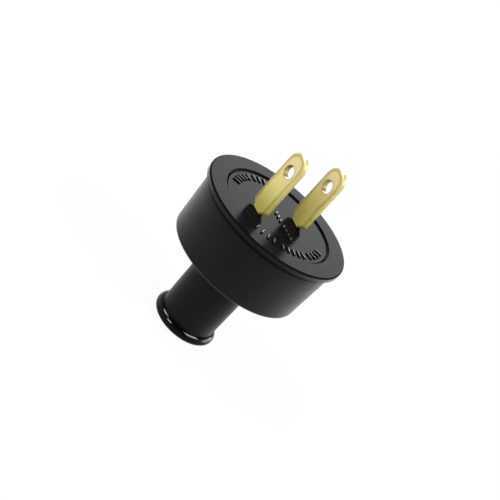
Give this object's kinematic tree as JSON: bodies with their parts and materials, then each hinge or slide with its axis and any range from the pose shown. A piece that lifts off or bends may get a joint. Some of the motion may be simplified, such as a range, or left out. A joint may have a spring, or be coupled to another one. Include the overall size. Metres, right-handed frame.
{
  "type": "electric plug",
  "caption": "Black rubber electric plug: a lipped round drum with a recessed disc that holds flat round-tipped brass blades, and a narrow neck with a rolled bead where the cord goes in.",
  "frame": {"origin": "middle of the neck's flat end, on which the plug stands", "axes": "+Z along the plug's axis, from the neck's end to the tips of the blades; +X from the left blade to the right blade, across their broad faces"},
  "size_m": [0.039, 0.039, 0.0539],
  "materials": {
    "rubber": "smooth moulded black rubber, satin on the drum and smoother on the face",
    "carrier": "hard black moulding, semi-gloss",
    "blade_brass": "rolled brass strip, satin with bright edges",
    "screw_brass": "turned brass, satin"
  },
  "bodies": {
    "root": {"rubber_shell": "rubber", "blade_carrier": "carrier", "blade_left": "blade_brass", "blade_right": "blade_brass", "terminal_screw_left": "screw_brass", "terminal_screw_right": "screw_brass"}
  },
  "joints": []
}
